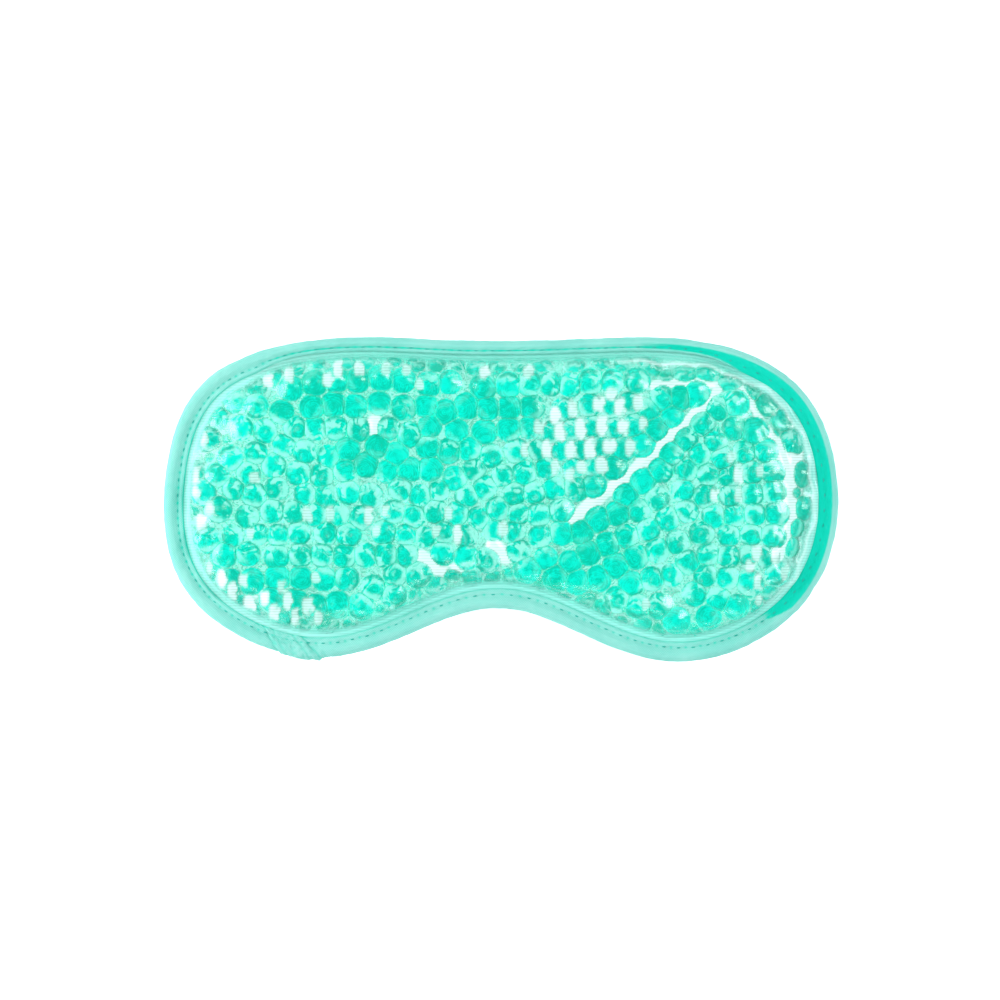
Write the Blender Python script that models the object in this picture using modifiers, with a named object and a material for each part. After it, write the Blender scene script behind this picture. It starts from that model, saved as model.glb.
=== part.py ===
"""Eye pillow: a kidney-shaped pouch of gel beads on a soft fabric back, bound round its edge.

It lies on its fabric back with the clear film and the beads up. Metres, +Z up, +X along its
length, +Y towards the forehead edge, origin under the middle of the outline. The pouch bends at
two fold lines, one each side of the nose bridge, so every sheet is made in a left lobe, a bridge
and a right lobe that part along bow-tie gaps. Each lobe hangs from an empty on its fold line.
"""

import math

import bmesh
import bpy
import numpy as np

MM = 0.001

# Outline: cage of a closed cubic B-spline, anticlockwise from the forehead edge. Millimetres.
OUTLINE_CAGE = [
    (24.5, 48.5),
    (-16.0, 47.5),
    (-50.0, 51.0),
    (-95.0, 41.5),
    (-105.0, 4.0),
    (-101.0, -33.5),
    (-55.5, -55.0),
    (-20.5, -37.0),
    (6.0, -29.0),
    (47.5, -56.5),
    (89.5, -41.0),
    (106.0, -10.0),
    (98.5, 35.0),
    (63.0, 50.5),
]
OUTLINE_STATIONS = 56
FINE_STATIONS = 1120

# Fold lines: both run along Y, in the middle of the bound edge's thickness.
FOLD_X = 15.0
FOLD_Z = 3.3
FOLD_UP = math.radians(60)
FOLD_DOWN = math.radians(25)
FOLD_GAP = 0.25

# Sheets: thicknesses, and heights of their lower faces at the bound rim and in the middle.
GAP = 0.3
SHEET_EDGE = 1.6
FABRIC_THICKNESS = 0.8
FABRIC_RIM_Z = 2.3
FABRIC_RIM_WIDTH = 4.6
FABRIC_SLOPE_WIDTH = 4.3
FILM_THICKNESS = 0.3
BACK_FILM_RIM_Z = FABRIC_RIM_Z + FABRIC_THICKNESS + GAP
BACK_FILM_FLOOR_Z = FABRIC_THICKNESS + GAP + 0.1
BACK_FILM_SHIFT = 0.4
FRONT_FILM_RIM_Z = BACK_FILM_RIM_Z + FILM_THICKNESS + GAP
WELD_INNER = 8.3
CROWN_Z = 12.0
SHOULDER_RISE = [(0.4, 2.9), (1.9, 5.4), (5.3, 7.2)]
CROWN_INSET = 20.0

# Binding: a tape folded over the edge, given by the middle of its thickness.
BINDING_THICKNESS = 0.6
BINDING_WIDTH = 5.3
BINDING_TOP = 4.9
BINDING_BOTTOM = 1.7
BINDING_ROUNDING = 1.0

# Each section is a list of (distance in from the outline, height), from the edge inwards.
FABRIC_RIM_END = SHEET_EDGE + FABRIC_RIM_WIDTH
FABRIC_SECTION = [
    (SHEET_EDGE, FABRIC_RIM_Z),
    (FABRIC_RIM_END, FABRIC_RIM_Z),
    (FABRIC_RIM_END + FABRIC_SLOPE_WIDTH, 0.0),
]
BACK_FILM_SECTION = [
    (SHEET_EDGE, BACK_FILM_RIM_Z),
    (FABRIC_RIM_END + BACK_FILM_SHIFT, BACK_FILM_RIM_Z),
    (FABRIC_RIM_END + FABRIC_SLOPE_WIDTH + BACK_FILM_SHIFT, BACK_FILM_FLOOR_Z),
]
FRONT_FILM_SECTION = [
    (SHEET_EDGE, FRONT_FILM_RIM_Z),
    (WELD_INNER, FRONT_FILM_RIM_Z),
    *[(WELD_INNER + run, FRONT_FILM_RIM_Z + rise) for run, rise in SHOULDER_RISE],
    (CROWN_INSET, CROWN_Z - FILM_THICKNESS),
]
BINDING_SECTION = [
    (BINDING_WIDTH, BINDING_TOP),
    (BINDING_ROUNDING, BINDING_TOP),
    (BINDING_THICKNESS / 2, BINDING_TOP - BINDING_ROUNDING),
    (BINDING_THICKNESS / 2, BINDING_BOTTOM + BINDING_ROUNDING),
    (BINDING_ROUNDING, BINDING_BOTTOM),
    (BINDING_WIDTH, BINDING_BOTTOM),
]
SOFT_ANGLE = math.radians(50)

# Gel beads: strings along X, one per row, pressed together where they touch.
BEAD_PITCH = 7.1
BEAD_RADIUS = 2.9
BEAD_SHOULDER = 1.75
BEAD_CONTACT_RADIUS = 1.3
BEAD_SIDES = 6
BEAD_Z = 5.2
BEAD_INSET = 12.6
BEAD_FOLD_CLEARANCE = 6.3
ROW_PITCH = 6.1
ROW_COUNT = 13

# Lockstitch: one thread on each side of the binding.
THREAD_RADIUS = 0.25
THREAD_INSET = 3.9
THREAD_STEP = 9.0
NEEDLE_THREAD_Z = BINDING_TOP + BINDING_THICKNESS / 2 + GAP + THREAD_RADIUS
BOBBIN_THREAD_Z = BINDING_BOTTOM - BINDING_THICKNESS / 2 - GAP - THREAD_RADIUS

# Cutters of the zones reach past the pouch on every side.
REACH = 130.0
ZONE_TOP = 20.0
ZONE_BOTTOM = -5.0
NOTCH_SPLIT_Y = 10.0


def clear_scene():
    for obj in list(bpy.data.objects):
        bpy.data.objects.remove(obj, do_unlink=True)


def new_collection(name, hidden=False):
    collection = bpy.data.collections.new(name)
    collection.hide_render = hidden
    bpy.context.scene.collection.children.link(collection)
    return collection


def principled(name, color, roughness, alpha=1.0, transmission=0.0):
    material = bpy.data.materials.new(name)
    material.use_nodes = True
    shader = material.node_tree.nodes["Principled BSDF"]
    shader.inputs["Base Color"].default_value = (*color, 1.0)
    shader.inputs["Roughness"].default_value = roughness
    shader.inputs["Metallic"].default_value = 0.0
    shader.inputs["Alpha"].default_value = alpha
    shader.inputs["Transmission Weight"].default_value = transmission
    return material


def spline(count):
    """Points of the outline and its inward normals, centred on the outline's box."""
    cage = np.array(OUTLINE_CAGE)
    place = np.arange(count) * len(cage) / count
    span = np.floor(place).astype(int)
    t = (place - span)[:, None]
    weights = [
        (1 - t) ** 3 / 6,
        (3 * t**3 - 6 * t**2 + 4) / 6,
        (-3 * t**3 + 3 * t**2 + 3 * t + 1) / 6,
        t**3 / 6,
    ]
    slopes = [
        -((1 - t) ** 2) / 2,
        (3 * t**2 - 4 * t) / 2,
        (-3 * t**2 + 2 * t + 1) / 2,
        t**2 / 2,
    ]
    corners = [cage[(span + k - 1) % len(cage)] for k in range(4)]
    points = sum(w * c for w, c in zip(weights, corners))
    heading = sum(s * c for s, c in zip(slopes, corners))
    heading /= np.linalg.norm(heading, axis=1)[:, None]
    normals = np.stack([-heading[:, 1], heading[:, 0]], axis=1)
    return points, normals


def outline(inset, count=OUTLINE_STATIONS):
    """The outline moved in by a distance, centred on the whole outline's box."""
    fine, _ = spline(FINE_STATIONS)
    centre = (fine.min(axis=0) + fine.max(axis=0)) / 2
    points, normals = spline(count)
    return points + normals * inset - centre


def sheet_mesh(name, section, capped):
    """A surface through the outline at each (inset, height) of the section."""
    bm = bmesh.new()
    rings = []
    for inset, z in section:
        ring = [bm.verts.new((x * MM, y * MM, z * MM)) for x, y in outline(inset)]
        rings.append(ring)
    for outer, inner in zip(rings, rings[1:]):
        for k in range(OUTLINE_STATIONS):
            after = (k + 1) % OUTLINE_STATIONS
            bm.faces.new((outer[k], outer[after], inner[after], inner[k]))
    if capped:
        bm.faces.new(rings[-1])
    bm.normal_update()
    mesh = bpy.data.meshes.new(name)
    bm.to_mesh(mesh)
    bm.free()
    mesh.shade_smooth()
    mesh.set_sharp_from_angle(angle=SOFT_ANGLE)
    return mesh


def prism(name, corners, y_low, y_high, collection):
    """A cutter: a polygon in XZ drawn out along Y."""
    bm = bmesh.new()
    face = bm.faces.new([bm.verts.new((x * MM, y_low * MM, z * MM)) for x, z in corners])
    drawn = bmesh.ops.extrude_face_region(bm, geom=[face])
    moved = [v for v in drawn["geom"] if isinstance(v, bmesh.types.BMVert)]
    bmesh.ops.translate(bm, verts=moved, vec=(0, (y_high - y_low) * MM, 0))
    bmesh.ops.recalc_face_normals(bm, faces=bm.faces)
    mesh = bpy.data.meshes.new(name)
    bm.to_mesh(mesh)
    bm.free()
    cutter = bpy.data.objects.new(name, mesh)
    cutter.hide_render = True
    cutter.display_type = "WIRE"
    collection.objects.link(cutter)
    return cutter


def fold_face(side, towards_lobe):
    """Corners, from the bottom up, of one face of the bow-tie gap at a fold line."""
    out = side if towards_lobe else -side
    low = (FOLD_Z - ZONE_BOTTOM) * math.tan(FOLD_DOWN / 2)
    high = (ZONE_TOP - FOLD_Z) * math.tan(FOLD_UP / 2)
    near = side * FOLD_X + out * FOLD_GAP
    return [(near + out * low, ZONE_BOTTOM), (near, FOLD_Z), (near + out * high, ZONE_TOP)]


def make_zones(collection):
    """The space that each body may fill: two lobes, and the bridge in an upper and a notch half."""
    zones = {}
    for name, side in (("left", -1), ("right", 1)):
        corners = fold_face(side, True) + [(side * REACH, ZONE_TOP), (side * REACH, ZONE_BOTTOM)]
        zones[name] = prism("zone_" + name, corners, -REACH, REACH, collection)
    corners = fold_face(1, False) + fold_face(-1, False)[::-1]
    zones["bridge"] = prism("zone_bridge", corners, -REACH, REACH, collection)
    zones["bridge_top"] = prism("zone_bridge_top", corners, NOTCH_SPLIT_Y, REACH, collection)
    zones["bridge_notch"] = prism("zone_bridge_notch", corners, -REACH, NOTCH_SPLIT_Y, collection)
    return zones


def add_hinges(collection):
    """An empty on each fold line, from which a lobe's objects hang."""
    hinges = {}
    for body, side in (("left", -1), ("right", 1)):
        hinge = bpy.data.objects.new(body + "_fold", None)
        hinge.location = (side * FOLD_X * MM, 0.0, FOLD_Z * MM)
        collection.objects.link(hinge)
        hinges[body] = hinge
    return hinges


def hang(obj, body, hinges, collection):
    """Adds an object where it is, with its lobe's hinge as parent; the bridge has none."""
    collection.objects.link(obj)
    if body in hinges:
        obj.parent = hinges[body]
        obj.location -= hinges[body].location


def add_sheet(name, section, thickness, offset, capped, zones, material, hinges, collection):
    """One object per zone: the sheet's surface with Solidify, kept where the zone is."""
    mesh = sheet_mesh(name, section, capped)
    mesh.materials.append(material)
    for zone_name, zone in zones.items():
        obj = bpy.data.objects.new(name + "_" + zone_name, mesh)
        hang(obj, zone_name, hinges, collection)
        solid = obj.modifiers.new("thickness", "SOLIDIFY")
        solid.thickness = thickness * MM
        solid.offset = offset
        solid.use_even_offset = True
        cut = obj.modifiers.new("zone", "BOOLEAN")
        cut.operation = "INTERSECT"
        cut.object = zone


def bead_profile(count):
    """Half outline of a string of beads along X, from pole to pole, centred on 0."""
    half = BEAD_PITCH / 2
    start = -(count - 1) * half
    points = [(start - half, 0.0)]
    for k in range(count):
        centre = start + k * BEAD_PITCH
        points.append((centre - BEAD_SHOULDER, BEAD_RADIUS))
        points.append((centre + BEAD_SHOULDER, BEAD_RADIUS))
        if k < count - 1:
            points.append((centre + half, BEAD_CONTACT_RADIUS))
    points.append((-start + half, 0.0))
    return points


def bead_string(name, x, y, count, material):
    """A row of beads turned about X with a Screw modifier."""
    profile = bead_profile(count)
    mesh = bpy.data.meshes.new(name)
    verts = [(px * MM, radius * MM, 0.0) for px, radius in profile]
    edges = [(k, k + 1) for k in range(len(profile) - 1)]
    mesh.from_pydata(verts, edges, [])
    mesh.materials.append(material)
    obj = bpy.data.objects.new(name, mesh)
    obj.location = (x * MM, y * MM, BEAD_Z * MM)
    turn = obj.modifiers.new("turn", "SCREW")
    turn.axis = "X"
    turn.steps = BEAD_SIDES
    turn.render_steps = BEAD_SIDES
    turn.use_merge_vertices = True
    turn.merge_threshold = 0.00001
    turn.use_normal_flip = True
    turn.use_smooth_shade = True
    return obj


def crossings(ring, y):
    """Sorted x at which a closed ring crosses the line at y."""
    found = []
    for (x0, y0), (x1, y1) in zip(ring, np.roll(ring, -1, axis=0)):
        if (y0 - y) * (y1 - y) < 0:
            found.append(x0 + (x1 - x0) * (y - y0) / (y1 - y0))
    return sorted(found)


def spans_of(ring, y):
    """The stretches of x inside the ring at y, kept clear of the fold lines, by body."""
    xs = crossings(ring, y)
    lobe = FOLD_X + BEAD_FOLD_CLEARANCE
    bridge = FOLD_X - BEAD_FOLD_CLEARANCE
    limits = {"left": (-REACH, -lobe), "bridge": (-bridge, bridge), "right": (lobe, REACH)}
    spans = {}
    for low, high in zip(xs[::2], xs[1::2]):
        for body, (start, end) in limits.items():
            a, b = max(low, start), min(high, end)
            if b >= a:
                spans[body] = (a, b)
    return spans


def add_beads(material, hinges, collection):
    ring = outline(BEAD_INSET, FINE_STATIONS)
    top = (ROW_COUNT - 1) / 2 * ROW_PITCH
    for row in range(ROW_COUNT):
        y = top - row * ROW_PITCH
        for body, (low, high) in spans_of(ring, y).items():
            count = int((high - low) // BEAD_PITCH) + 1
            name = f"gel_beads_{body}_row_{row + 1:02d}"
            string = bead_string(name, (low + high) / 2, y, count, material)
            hang(string, body, hinges, collection)


def edge_run(inset, keep):
    """The outline's points, in order, over the one stretch where keep(x, y) holds."""
    ring = outline(inset, FINE_STATIONS)
    inside = np.array([keep(x, y) for x, y in ring])
    first = np.flatnonzero(inside & ~np.roll(inside, 1))[0]
    ordered = np.roll(ring, -first, axis=0)
    run = ordered[: int(inside.sum())]
    along = np.r_[0, np.cumsum(np.linalg.norm(np.diff(run, axis=0), axis=1))]
    steps = np.linspace(0, along[-1], max(3, round(along[-1] / THREAD_STEP) + 1))
    return [(np.interp(s, along, run[:, 0]), np.interp(s, along, run[:, 1])) for s in steps]


def thread(name, z, keep, material):
    """A sewing thread along the binding, as a tube on a poly curve."""
    points = edge_run(THREAD_INSET, keep)
    curve = bpy.data.curves.new(name, "CURVE")
    curve.dimensions = "3D"
    curve.bevel_depth = THREAD_RADIUS * MM
    curve.bevel_resolution = 0
    curve.use_fill_caps = True
    line = curve.splines.new("POLY")
    line.points.add(len(points) - 1)
    for point, (x, y) in zip(line.points, points):
        point.co = (x * MM, y * MM, z * MM, 1.0)
    curve.materials.append(material)
    return bpy.data.objects.new(name, curve)


def add_stitching(material, hinges, collection):
    """Needle thread on the bead side and bobbin thread on the fabric side of each stretch."""
    rise = (NEEDLE_THREAD_Z + THREAD_RADIUS - FOLD_Z) * math.tan(FOLD_UP / 2)
    clear = FOLD_GAP + rise + GAP
    runs = {
        "left": lambda x, y: x < -FOLD_X - clear,
        "right": lambda x, y: x > FOLD_X + clear,
        "bridge_top": lambda x, y: abs(x) < FOLD_X - clear and y > NOTCH_SPLIT_Y,
        "bridge_notch": lambda x, y: abs(x) < FOLD_X - clear and y < NOTCH_SPLIT_Y,
    }
    for stretch, keep in runs.items():
        for side, z in (("needle", NEEDLE_THREAD_Z), ("bobbin", BOBBIN_THREAD_Z)):
            tube = thread(f"{side}_thread_{stretch}", z, keep, material)
            hang(tube, stretch, hinges, collection)


def main():
    clear_scene()
    parts = new_collection("eye_pillow")
    cutters = new_collection("cutters", hidden=True)
    hinges = add_hinges(parts)
    zones = make_zones(cutters)
    panels = {name: zones[name] for name in ("left", "bridge", "right")}
    edges = {name: zones[name] for name in ("left", "bridge_top", "bridge_notch", "right")}

    back = principled("backing_fabric", (0.30, 0.78, 0.66), 0.9)
    film = principled("clear_film", (0.70, 0.98, 0.93), 0.12, alpha=0.35, transmission=0.9)
    tape = principled("binding_tape", (0.36, 0.85, 0.75), 0.8)
    gel = principled("gel_beads", (0.03, 0.80, 0.62), 0.05, transmission=0.8)
    thread_mat = principled("stitch_thread", (0.05, 0.62, 0.52), 0.7)

    sheets = [
        ("backing_fabric", FABRIC_SECTION, FABRIC_THICKNESS, back),
        ("back_film", BACK_FILM_SECTION, FILM_THICKNESS, film),
        ("front_film", FRONT_FILM_SECTION, FILM_THICKNESS, film),
    ]
    for name, section, thickness, material in sheets:
        add_sheet(name, section, thickness, 1, True, panels, material, hinges, parts)
    add_sheet(
        "binding", BINDING_SECTION, BINDING_THICKNESS, 0, False, edges, tape, hinges, parts
    )
    add_beads(gel, hinges, parts)
    add_stitching(thread_mat, hinges, parts)


main()
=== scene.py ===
"""Looks of the eye pillow: gel beads under a drawn-down clear film, fabric back, bound edge.

Everything is worked out in millimetres in the frame's own axes and made in metres.
"""
import math

import bmesh
import bpy
import numpy as np
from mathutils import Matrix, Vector


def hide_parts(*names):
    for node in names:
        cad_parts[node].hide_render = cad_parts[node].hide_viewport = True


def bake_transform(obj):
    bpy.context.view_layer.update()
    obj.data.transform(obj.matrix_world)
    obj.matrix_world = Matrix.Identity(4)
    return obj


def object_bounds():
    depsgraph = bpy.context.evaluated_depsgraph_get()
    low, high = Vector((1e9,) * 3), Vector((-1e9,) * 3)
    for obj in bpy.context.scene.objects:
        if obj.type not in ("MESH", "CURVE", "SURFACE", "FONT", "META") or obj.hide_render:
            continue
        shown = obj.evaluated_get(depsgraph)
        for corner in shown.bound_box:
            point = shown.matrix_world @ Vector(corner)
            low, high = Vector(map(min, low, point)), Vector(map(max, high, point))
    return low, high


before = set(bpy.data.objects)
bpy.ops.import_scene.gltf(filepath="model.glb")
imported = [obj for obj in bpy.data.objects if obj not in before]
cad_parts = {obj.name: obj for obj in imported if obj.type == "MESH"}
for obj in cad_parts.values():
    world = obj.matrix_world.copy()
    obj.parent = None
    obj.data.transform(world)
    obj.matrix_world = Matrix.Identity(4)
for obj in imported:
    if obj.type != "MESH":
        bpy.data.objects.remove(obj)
CAD_LOW, CAD_HIGH = [np.array(corner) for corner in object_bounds()]

MM = 0.001
RANDOM = np.random.default_rng(11)

# ---------------------------------------------------------------- sizes, in millimetres
CAD_SIZE = (CAD_HIGH - CAD_LOW) / MM
CAD_MIDDLE = (CAD_HIGH + CAD_LOW) / 2 / MM

# Control points of the outline, a closed cubic B-spline, as part.py has them. They were found by a
# least-squares fit to the photographed edge. The curve is scaled to the CAD box.
OUTLINE_CAGE = [
    (24.5, 48.5),
    (-16.0, 47.5),
    (-50.0, 51.0),
    (-95.0, 41.5),
    (-105.0, 4.0),
    (-101.0, -33.5),
    (-55.5, -55.0),
    (-20.5, -37.0),
    (6.0, -29.0),
    (47.5, -56.5),
    (89.5, -41.0),
    (106.0, -10.0),
    (98.5, 35.0),
    (63.0, 50.5),
]
FINE_STATIONS = 1400

# Sheets: steps of their grids, how far in they end, their heights, and the beads' marks in them.
GRID = 0.4
BACK_GRID = 0.8
FILM_EDGE = 3.0
FILM_RIM_Z = 4.25
CROWN_Z = 12.3
BACK_FILM_Z = 1.15
BACK_FILM_RIM_Z = 3.55
FABRIC_Z = 0.12
FABRIC_RIM_Z = 2.5
FABRIC_LEAST_Z = 0.02
BACK_SLOPE = (6.0, 11.0)
DIMPLE_BELOW_Z = 6.0
DIMPLE_AREA = 6.0
DIMPLE_DEPTH = 0.08
FABRIC_PUFF = 0.10
FABRIC_UNEVEN = 0.05

# Beads. A bead is packed at its radius and then swells until its neighbours flatten it.
BEAD_RADIUS = 3.4
BEAD_SPREAD = 0.16
BEAD_SPREAD_LIMITS = (-0.4, 0.3)
BEAD_SWELL = 1.30
BEAD_PITCH = 7.0
BEAD_ROW = 6.1
BEAD_WALL = 8.4
BEAD_WALL_TOP = 6.7
WALL_LEAN = 3.6
WALL_LEAN_POWER = 2.4
LATTICE_HALF = (101, 45)
ROW_SHIFT = 1.2
LOWER_CLEAR = BEAD_RADIUS * 0.75
UPPER_CLEAR = BEAD_RADIUS + 2.8
LOWER_START_Z = 4.7
UPPER_START_Z = 8.9
UPPER_SETTLING_Z = 7.0
UPPER_SETTLED_Z = BACK_FILM_Z + 2 * BEAD_RADIUS - 0.2
START_JITTER = 0.28
SETTLE_STEPS = 60
SETTLE_SINK = 0.03
SETTLE_PUSH = 0.3
SETTLE_CONTACT = 0.985
WALL_PUSH = 0.7
BEAD_FLOOR_GAP = 0.1
BEAD_CROWN_GAP = 0.35
BEAD_CONTACT_GAP = 0.04
BEAD_SOFTNESS = 14
FILM_CLEARANCE = 0.06

# The film is held flat up to this far short of the beads' wall. Over the beads it is drawn tight,
# and then softened.
HELD_STRIP = 0.9
DRAPE_STEPS = 160
DRAPE_SAG = 0.004
SOFTEN_STEPS = 6
SMOOTH_STEPS = 22

# Where the film lies flat and tight on the beads: centre, half lengths, turn in degrees, strength.
PRESSED = [
    (-64.0, -27.0, 20.0, 8.0, -14.0, 1.0),
    (-48.0, 33.0, 26.0, 8.0, 8.0, 1.0),
    (-8.0, 27.0, 20.0, 10.0, 0.0, 0.9),
    (-32.0, 13.0, 22.0, 7.0, -8.0, 0.7),
    (38.0, 8.0, 38.0, 8.0, 52.0, 1.0),
    (24.0, -22.0, 20.0, 9.0, 10.0, 1.0),
    (62.0, -36.0, 22.0, 6.0, 8.0, 0.8),
    (93.0, -6.0, 5.0, 22.0, 0.0, 0.9),
    (78.0, 24.0, 10.0, 8.0, 0.0, 0.8),
]
PRESS_LEAST = 1.3
PRESS_MOST = 1.8

# Where air lies under the film, on one side of each bead, with a painted highlight on it: centre, half
# lengths, turn, strength.
AIRY = [
    (25.0, 20.0, 21.0, 12.0, 20.0, 1.0),
    (-72.0, -32.0, 26.0, 8.0, -22.0, 0.95),
    (-52.0, 39.0, 26.0, 4.5, 6.0, 0.75),
    (-6.0, 38.5, 34.0, 3.5, 0.0, 0.5),
    (-91.0, 4.0, 6.0, 30.0, 0.0, 0.62),
    (68.0, 4.0, 9.0, 14.0, -30.0, 0.6),
    (76.0, -22.0, 8.0, 12.0, 0.0, 0.55),
    (33.0, -34.0, 34.0, 5.0, -8.0, 0.45),
    (-16.0, -8.0, 26.0, 9.0, -6.0, 0.5),
    (-60.0, -8.0, 18.0, 8.0, 0.0, 0.35),
]
AIR_BESIDE = 2.5
AIR_HALF = (1.75, 2.7)
AIR_LIFT = 0.2
AIR_LEAST = 0.4
AIR_SIDE_X = -10.0

# Where each bead still stands up under the film: centre and half lengths.
BUMPY = [
    (26.0, 20.0, 20.0, 14.0),
    (-68.0, -32.0, 22.0, 8.0),
    (-55.0, 38.0, 24.0, 5.0),
    (-90.0, 0.0, 7.0, 26.0),
    (70.0, 4.0, 10.0, 14.0),
]

# Creases where the film stands off the beads, with a painted highlight on them: ends, half width,
# height.
CREASES = [
    (66.0, 33.5, 44.0, 12.0, 1.15, 0.9),
    (44.0, 12.0, 22.0, -6.0, 1.5, 1.1),
    (46.8, 34.6, 64.5, 35.2, 1.2, 0.9),
    (73.0, 33.0, 84.0, 17.0, 0.9, 0.8),
    (84.0, 17.0, 89.0, 1.0, 1.6, 1.2),
    (88.6, 16.0, 88.2, -5.0, 2.4, 1.2),
    (88.2, -5.0, 84.5, -17.0, 1.0, 0.8),
    (-24.0, -17.0, -17.0, -22.0, 1.7, 0.9),
    (-17.0, -22.0, -13.0, -20.5, 1.2, 0.9),
    (-2.5, -13.5, 1.5, -17.5, 1.6, 0.9),
    (-38.6, 23.6, -38.6, 21.4, 1.7, 0.9),
]
CREASE_PUSH = 0.4
CREASE_CLEAR_OF_BEAD = 0.85
CREASE_CLEAR_OF_CREASE = 0.6

# A low fold of the film beside the binding, with a painted highlight on it: where it starts and ends,
# inset, half width, height.
RIM_FOLD_FROM = (80.0, -38.0)
RIM_FOLD_TO = (30.0, 48.5)
RIM_FOLD_INSET = 7.6
RIM_FOLD_HALF = 0.7
RIM_FOLD = 0.8

# Binding. STITCH_AT is the stitches' place across the tape's section, as a share of its width.
STITCH_PITCH = 4.9
STITCH_AT = 0.71
STITCH_HALF = (0.62, 0.2, 0.16)
STITCH_BEND = 0.12
STITCH_JITTER = 0.06
STITCH_Z = {"needle": 4.76, "bobbin": 1.68}
TAPE_WIDTH = 6.1
TAPE_WIDTH_TOP = 4.2
TAPE_ROLL = 1.0
TAPE_STEP = 0.42
TAPE_CURVE_STEPS = 3
TAPE_MIDDLE_Z = 3.4
TAPE_RIB = 0.85
# A band of painted shade round the right end of the tape: where it starts and ends, and its strength.
PAINTED_SHADE_BAND_FROM = (80.0, -38.5)
PAINTED_SHADE_BAND_TO = (40.0, 49.0)
PAINTED_SHADE_BAND_DEPTH = 1.1
LEFT_END = (-103.0, 0.0)
LAP_AT = (-64.0, -46.0)
LAP_SPAN = (-6.5, 6.0)
LAP_SLANT = 1.2
LAP_PIVOT = 3.0
LAP_SOFT = 0.35
LAP_RISE = 0.34
LAP_CREASE = 0.3
LAP_CREASE_HALF = 0.38
LAP_CORNER = 0.75

# ---------------------------------------------------------------- looks
# Shares of haze (fog in the film's own colour) and of milk (whiter fog) over the gel.
HAZE_COLOR = (0.36, 0.93, 0.85)
MILK_COLOR = (0.70, 0.94, 0.92)
FLANGE_HAZE = 0.72
FLANGE_HAZE_TOP = 0.3
FLANGE_MILK = 0.16
GAP_HAZE = 0.42
GAP_MILK = 0.16
# Painted light along the valleys between beads, where they shade each other.
SEAM_PAINTED_LIGHT = 0.34
PATCH_HAZE = 0.24
# Painted highlights on the creases and air pockets and on the fold beside the binding.
CREASE_PAINTED_HIGHLIGHT = 0.85
RIM_FOLD_PAINTED_HIGHLIGHT = 0.55
HAZE_MOST = 0.8
MILK_MOST = 0.85

# Ribs of the film: fine level ones, and grooves that follow the edge along the flat margin.
RIB_SCALE = 370.0
RIB_IN_MILK = 0.35
FLANGE_RIB = 0.95
FLANGE_RIB_CONTRAST = 0.03
FLANGE_RIB_CONTRAST_TOP = 0.13
LEVEL_RIB_CONTRAST = 0.13

# Gel: its clear share, the painted rings round each bead's painted lens spot, in radians, and the spot's
# edge.
GEL_CLEAR = 0.35
RING_STEP = 0.19
RING_TONE = 0.30
RING_WAVER = 9.0
SPOT_EDGE = 0.76
SPOT_SOFT = 0.06

# ---------------------------------------------------------------- stage
# The floor lies FLOOR_DROP mm down, so that lobes folded back stay clear of it.
FLOOR_REACH = 3000
FLOOR_DROP = 40.0
FLOOR_GLOW = 0.5
SKY = 0.66
SKY_TOP = 0.06

# Camera and lamps, in metres. The view is EYE_VIEW_WIDTH wide at the height EYE_VIEW_Z.
EYE = (-0.0003, -0.0001, 1.6)
EYE_VIEW_WIDTH = 0.3037
EYE_VIEW_Z = 0.006
SENSOR_WIDTH = 36.0
# Name, place, size and power of each lamp; all face the origin.
LAMPS = [
    ("key_left", (-0.62, 0.06, 0.34), (0.46, 0.62), 5.5),
    ("window_right", (0.50, 0.16, 0.66), (0.30, 0.36), 4.4),
    ("strip_front", (0.05, -0.70, 0.50), (0.60, 0.14), 1.4),
]


# ---------------------------------------------------------------- outline
def spline(count):
    """Points of the closed B-spline and its inward normals."""
    cage = np.array(OUTLINE_CAGE)
    place = np.arange(count) * len(cage) / count
    span = np.floor(place).astype(int)
    t = (place - span)[:, None]
    weights = [
        (1 - t) ** 3 / 6,
        (3 * t**3 - 6 * t**2 + 4) / 6,
        (-3 * t**3 + 3 * t**2 + 3 * t + 1) / 6,
        t**3 / 6,
    ]
    points = sum(w * cage[(span + k - 1) % len(cage)] for k, w in enumerate(weights))
    low, high = points.min(axis=0), points.max(axis=0)
    points = (points - (low + high) / 2) * (CAD_SIZE[:2] / (high - low)) + CAD_MIDDLE[:2]
    heading = np.roll(points, -1, axis=0) - np.roll(points, 1, axis=0)
    heading /= np.linalg.norm(heading, axis=1)[:, None]
    return points, np.stack([-heading[:, 1], heading[:, 0]], axis=1)


EDGE, EDGE_IN = spline(FINE_STATIONS)
EDGE_NEXT = np.roll(EDGE, -1, axis=0)
EDGE_STEPS = np.linalg.norm(EDGE_NEXT - EDGE, axis=1)
EDGE_AT = np.r_[0, np.cumsum(EDGE_STEPS)]
EDGE_LENGTH = EDGE_AT[-1]
STITCH_COUNT = round(EDGE_LENGTH / STITCH_PITCH)
NEAREST_BATCH = 4000
NOISE_WAVES = 9


def edge_point(s):
    """Point and inward normal at each distance s along the outline."""
    s = np.mod(s, EDGE_LENGTH)
    closed = np.vstack([EDGE, EDGE[:1]])
    closed_in = np.vstack([EDGE_IN, EDGE_IN[:1]])
    point = np.stack([np.interp(s, EDGE_AT, closed[:, k]) for k in (0, 1)], axis=-1)
    inward = np.stack([np.interp(s, EDGE_AT, closed_in[:, k]) for k in (0, 1)], axis=-1)
    return point, inward / np.linalg.norm(inward, axis=-1)[..., None]


def s_nearest(x, y):
    """Distance along the outline of the station nearest to a point."""
    return EDGE_AT[np.argmin(((EDGE - (x, y)) ** 2).sum(axis=1))]


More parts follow.
